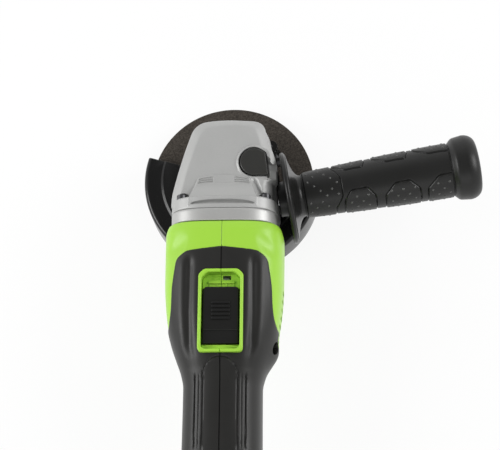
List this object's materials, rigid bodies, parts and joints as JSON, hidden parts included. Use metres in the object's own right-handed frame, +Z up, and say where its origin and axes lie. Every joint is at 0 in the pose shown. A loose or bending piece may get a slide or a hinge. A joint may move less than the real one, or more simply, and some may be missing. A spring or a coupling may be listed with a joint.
{
  "type": "angle grinder",
  "caption": "Cordless angle grinder with silver gear head, rear wheel guard, angled side handle, top slide switch and stem battery at the tail.",
  "frame": {"origin": "centre of the output spindle's end face, on the spindle axis", "axes": "+Z up along the spindle axis, away from the wheel; +Y forward to the nose, against the battery; +X to the side that carries the side handle"},
  "size_m": [0.2354, 0.3395, 0.0975],
  "materials": {
    "head_aluminium": "cast and painted satin silver",
    "plate_aluminium": "machined satin",
    "steel": "ground",
    "dark_steel": "black oxide",
    "gear_steel": "hardened",
    "guard_steel": "gloss black paint",
    "abrasive": "coarse bonded grit",
    "green_plastic": "satin lime green",
    "black_plastic": "satin black",
    "grip_rubber": "soft matte charcoal",
    "grey_plastic": "moulded",
    "magnet": "ferrite",
    "copper": "enamelled copper wire",
    "brass": "stamped",
    "bronze": "sintered bronze",
    "carbon": "pressed carbon",
    "cell_wrap": "shrink-wrapped cells"
  },
  "bodies": {
    "tool": {"gear_case": "head_aluminium", "bearing_plate": "plate_aluminium", "gear_case_screws": "dark_steel", "bearing_cap": "head_aluminium", "bearing_cap_screws": "dark_steel", "spindle_bush": "bronze", "spindle_bearing_outer": "steel", "front_bearing_outer": "steel", "rear_bearing_outer": "steel", "motor_can": "steel", "motor_magnets": "magnet", "brush_plate": "black_plastic", "brush_holders": "brass", "carbon_brushes": "carbon", "air_baffle": "grey_plastic", "housing_left": "green_plastic", "housing_right": "green_plastic", "grip_cover_left": "grip_rubber", "grip_cover_right": "grip_rubber", "housing_screws": "dark_steel", "power_switch": "black_plastic", "battery_terminals": "grey_plastic", "lock_spring": "steel"},
    "output_spindle": {"spindle": "steel", "spindle_bearing_inner": "steel", "crown_gear": "gear_steel", "inner_flange": "steel", "grinding_wheel": "abrasive", "lock_nut": "dark_steel"},
    "armature": {"armature_shaft": "steel", "armature_core": "gear_steel", "armature_windings": "copper", "commutator": "brass", "pinion": "gear_steel", "cooling_fan": "grey_plastic", "front_bearing_inner": "steel", "rear_bearing_inner": "steel"},
    "guard": {"guard_shell": "guard_steel", "guard_band": "guard_steel", "guard_clamp_bolt": "dark_steel", "guard_clamp_pin": "steel"},
    "clamp_lever": {"guard_lever": "black_plastic"},
    "spindle_lock": {"lock_button": "black_plastic", "lock_pin": "steel"},
    "switch": {"switch_slider": "black_plastic", "slider_link": "grey_plastic"},
    "side_handle": {"handle_core": "black_plastic", "handle_grip": "grip_rubber", "handle_stud": "steel"},
    "battery_pack": {"pack_front_shell": "black_plastic", "pack_rear_shell": "black_plastic", "pack_cells": "cell_wrap", "pack_contacts": "brass"},
    "left_latch": {"pack_latch_left": "grey_plastic"},
    "right_latch": {"pack_latch_right": "grey_plastic"}
  },
  "joints": [
    {"name": "spindle_spin", "type": "hinge", "parent": "tool", "child": "output_spindle", "pos_m": [0, 0, 0], "axis": [0, 0, 1], "continuous": true},
    {"name": "armature_spin", "type": "hinge", "parent": "tool", "child": "armature", "pos_m": [0, 0, 0.06], "axis": [0, 1, 0], "continuous": true},
    {"name": "guard_turn", "type": "hinge", "parent": "tool", "child": "guard", "pos_m": [0, 0, 0.024], "axis": [0, 0, 1], "range_deg": [-60, 60]},
    {"name": "guard_lever_open", "type": "hinge", "parent": "guard", "child": "clamp_lever", "pos_m": [0.02825, 0.02222, 0.0262], "axis": [0, 0, -1], "range_deg": [0, 95]},
    {"name": "spindle_lock_press", "type": "slide", "parent": "tool", "child": "spindle_lock", "axis": [0, 0, -1], "range_m": [0, 0.0045], "stiffness_N_per_m": 600, "springref_m": -0.002, "deforming": ["lock_spring"]},
    {"name": "switch_slide", "type": "slide", "parent": "tool", "child": "switch", "axis": [0, 1, 0], "range_m": [0, 0.007], "stiffness_N_per_m": 400, "springref_m": -0.002},
    {"name": "side_handle_unscrew", "type": "slide", "parent": "tool", "child": "side_handle", "axis": [0.9857, 0.1685, 0], "range_m": [0, 0.03]},
    {"name": "battery_slide", "type": "slide", "parent": "tool", "child": "battery_pack", "axis": [0, -1, 0], "range_m": [0, 0.065]},
    {"name": "left_latch_press", "type": "slide", "parent": "battery_pack", "child": "left_latch", "axis": [1, 0, 0], "range_m": [0, 0.0025], "stiffness_N_per_m": 800, "springref_m": -0.0015},
    {"name": "right_latch_press", "type": "slide", "parent": "battery_pack", "child": "right_latch", "axis": [-1, 0, 0], "range_m": [0, 0.0025], "stiffness_N_per_m": 800, "springref_m": -0.0015}
  ],
  "couplings": [
    {"joint": "armature_spin", "follows": "spindle_spin", "ratio": -3.0909}
  ]
}
